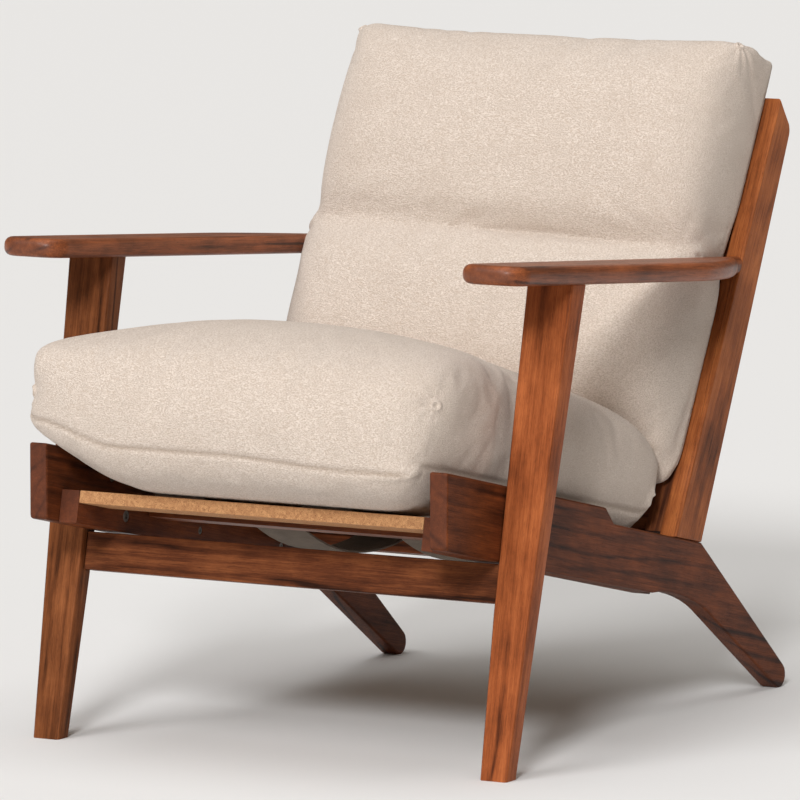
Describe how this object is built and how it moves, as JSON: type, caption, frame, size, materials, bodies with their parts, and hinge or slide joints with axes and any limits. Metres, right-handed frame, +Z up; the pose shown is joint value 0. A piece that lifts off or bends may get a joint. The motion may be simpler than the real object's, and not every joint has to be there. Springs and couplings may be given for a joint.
{
  "type": "fireside chair",
  "caption": "Low wooden lounge chair with raked legs, flat arms, webbed seat and back frames, and loose seat and back cushions.",
  "frame": {"origin": "on the floor under the middle of the chair's bounding box", "axes": "+X to the right as seen from the front, +Y to the rear, +Z up; the chair faces -Y"},
  "size_m": [0.712, 0.9128, 0.8183],
  "materials": {
    "stained_wood": "reddish brown stained timber, satin lacquer",
    "dark_stained_wood": "darker brown stained timber, satin lacquer",
    "light_board": "unstained pale board, matt",
    "webbing": "woven elastic webbing",
    "steel": "plain zinc plated",
    "cushion_fabric": "cream nubby chenille weave",
    "foam": "cushion filling, matt",
    "zip_tape": "woven tape with nylon teeth"
  },
  "bodies": {
    "frame": {"right_side_plank": "stained_wood", "left_side_plank": "stained_wood", "right_back_post": "stained_wood", "left_back_post": "stained_wood", "right_front_leg": "stained_wood", "left_front_leg": "stained_wood", "right_arm": "dark_stained_wood", "left_arm": "dark_stained_wood", "front_stretcher": "stained_wood", "rear_stretcher": "dark_stained_wood", "right_deck_runner": "stained_wood", "left_deck_runner": "stained_wood", "deck_front_board": "light_board", "deck_cross_slat": "dark_stained_wood", "deck_rear_slat": "dark_stained_wood", "right_seat_strap": "webbing", "left_seat_strap": "webbing", "right_back_stile": "dark_stained_wood", "left_back_stile": "dark_stained_wood", "back_bottom_rail": "dark_stained_wood", "back_top_rail": "dark_stained_wood", "back_strap_1": "webbing", "back_strap_2": "webbing", "back_strap_3": "webbing", "back_strap_4": "webbing", "right_upper_leg_bolt": "steel", "left_upper_leg_bolt": "steel", "right_lower_leg_bolt": "steel", "left_lower_leg_bolt": "steel", "right_deck_screw_1": "steel", "left_deck_screw_1": "steel", "right_deck_screw_2": "steel", "left_deck_screw_2": "steel", "right_arm_screw": "steel", "left_arm_screw": "steel"},
    "seat_cushion": {"seat_cushion_cover": "cushion_fabric", "seat_foam_core": "foam", "seat_zip": "zip_tape"},
    "back_cushion": {"back_cushion_cover": "cushion_fabric", "back_fibre_core": "foam", "back_zip": "zip_tape"}
  },
  "joints": [
    {"name": "seat_cushion_slide", "type": "slide", "parent": "frame", "child": "seat_cushion", "axis": [0, -0.976, 0.2176], "range_m": [0, 0.65]},
    {"name": "back_cushion_slide", "type": "slide", "parent": "frame", "child": "back_cushion", "axis": [0, 0.4726, 0.8813], "range_m": [0, 0.65]}
  ]
}
